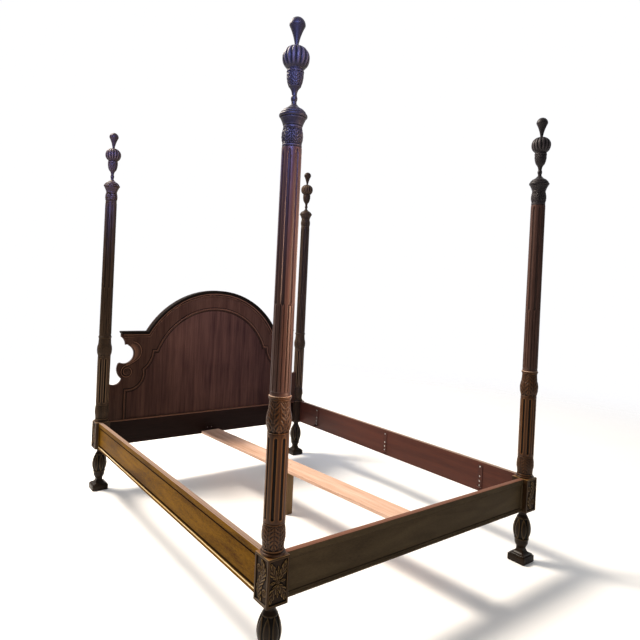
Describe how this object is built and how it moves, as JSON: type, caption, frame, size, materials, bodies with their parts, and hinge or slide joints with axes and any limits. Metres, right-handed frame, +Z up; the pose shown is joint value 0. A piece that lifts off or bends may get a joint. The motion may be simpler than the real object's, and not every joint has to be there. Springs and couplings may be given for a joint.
{
  "type": "four-poster bed",
  "caption": "Four-poster queen bed frame: turned, fluted and carved posts with finials, arched scrolled headboard, low framed rails on hooks, loose centre board on a leg.",
  "frame": {"origin": "on the floor in the middle of the four posts", "axes": "+Z up, +Y towards the headboard, +X to the right of someone who looks from the foot"},
  "size_m": [1.66, 2.182, 2.318],
  "materials": {
    "carved_wood": "dark walnut stain, carved and turned, satin lacquer",
    "dark_wood": "dark red-brown stain, satin lacquer",
    "veneer": "upright-grain mahogany veneer, satin lacquer",
    "rail_wood": "brown stain, satin lacquer",
    "dowel_wood": "plain hardwood",
    "pine": "plain sawn pine",
    "leg_wood": "dark stained softwood",
    "steel": "plain steel, dulled"
  },
  "bodies": {
    "bed_frame": {"foot_head_left": "carved_wood", "lower_post_head_left": "carved_wood", "foot_head_right": "carved_wood", "lower_post_head_right": "carved_wood", "foot_foot_left": "carved_wood", "lower_post_foot_left": "carved_wood", "foot_foot_right": "carved_wood", "lower_post_foot_right": "carved_wood", "post_dowels": "dowel_wood", "foot_studs": "steel", "head_rail": "dark_wood", "head_rail_moulding": "dark_wood", "headboard_border": "dark_wood", "headboard_bead": "dark_wood", "headboard_crown": "dark_wood", "scroll_rosettes": "dark_wood", "headboard_panel": "veneer", "foot_rail": "rail_wood", "foot_rail_cap": "rail_wood", "foot_rail_bead": "rail_wood", "foot_rail_ends": "rail_wood", "rail_receiver_plates": "steel", "receiver_screws": "steel", "board_end_brackets": "steel", "end_bracket_screws": "steel"},
    "upper_post_head_left": {"upper_post_head_left": "carved_wood", "finial_pin_head_left": "steel"},
    "finial_head_left": {"finial_head_left": "carved_wood"},
    "upper_post_head_right": {"upper_post_head_right": "carved_wood", "finial_pin_head_right": "steel"},
    "finial_head_right": {"finial_head_right": "carved_wood"},
    "upper_post_foot_left": {"upper_post_foot_left": "carved_wood", "finial_pin_foot_left": "steel"},
    "finial_foot_left": {"finial_foot_left": "carved_wood"},
    "upper_post_foot_right": {"upper_post_foot_right": "carved_wood", "finial_pin_foot_right": "steel"},
    "finial_foot_right": {"finial_foot_right": "carved_wood"},
    "side_rail_left": {"side_rail_left": "rail_wood", "side_rail_cap_left": "rail_wood", "side_rail_bead_left": "rail_wood", "side_rail_ends_left": "rail_wood", "rail_hooks_left": "steel", "hook_screws_left": "steel", "spring_brackets_left": "steel", "bracket_screws_left": "steel"},
    "side_rail_right": {"side_rail_right": "rail_wood", "side_rail_cap_right": "rail_wood", "side_rail_bead_right": "rail_wood", "side_rail_ends_right": "rail_wood", "rail_hooks_right": "steel", "hook_screws_right": "steel", "spring_brackets_right": "steel", "bracket_screws_right": "steel"},
    "centre_board": {"centre_board": "pine", "centre_leg": "leg_wood", "centre_leg_screws": "steel"}
  },
  "joints": [
    {"name": "upper_post_lift_head_left", "type": "slide", "parent": "bed_frame", "child": "upper_post_head_left", "axis": [0, 0, 1], "range_m": [0, 0.1]},
    {"name": "finial_lift_head_left", "type": "slide", "parent": "upper_post_head_left", "child": "finial_head_left", "axis": [0, 0, 1], "range_m": [0, 0.05]},
    {"name": "upper_post_lift_head_right", "type": "slide", "parent": "bed_frame", "child": "upper_post_head_right", "axis": [0, 0, 1], "range_m": [0, 0.1]},
    {"name": "finial_lift_head_right", "type": "slide", "parent": "upper_post_head_right", "child": "finial_head_right", "axis": [0, 0, 1], "range_m": [0, 0.05]},
    {"name": "upper_post_lift_foot_left", "type": "slide", "parent": "bed_frame", "child": "upper_post_foot_left", "axis": [0, 0, 1], "range_m": [0, 0.1]},
    {"name": "finial_lift_foot_left", "type": "slide", "parent": "upper_post_foot_left", "child": "finial_foot_left", "axis": [0, 0, 1], "range_m": [0, 0.05]},
    {"name": "upper_post_lift_foot_right", "type": "slide", "parent": "bed_frame", "child": "upper_post_foot_right", "axis": [0, 0, 1], "range_m": [0, 0.1]},
    {"name": "finial_lift_foot_right", "type": "slide", "parent": "upper_post_foot_right", "child": "finial_foot_right", "axis": [0, 0, 1], "range_m": [0, 0.05]},
    {"name": "side_rail_lift_left", "type": "slide", "parent": "bed_frame", "child": "side_rail_left", "axis": [0, 0, 1], "range_m": [0, 0.018]},
    {"name": "side_rail_lift_right", "type": "slide", "parent": "bed_frame", "child": "side_rail_right", "axis": [0, 0, 1], "range_m": [0, 0.018]},
    {"name": "centre_board_lift", "type": "slide", "parent": "bed_frame", "child": "centre_board", "axis": [0, 0, 1], "range_m": [0, 0.5]}
  ]
}
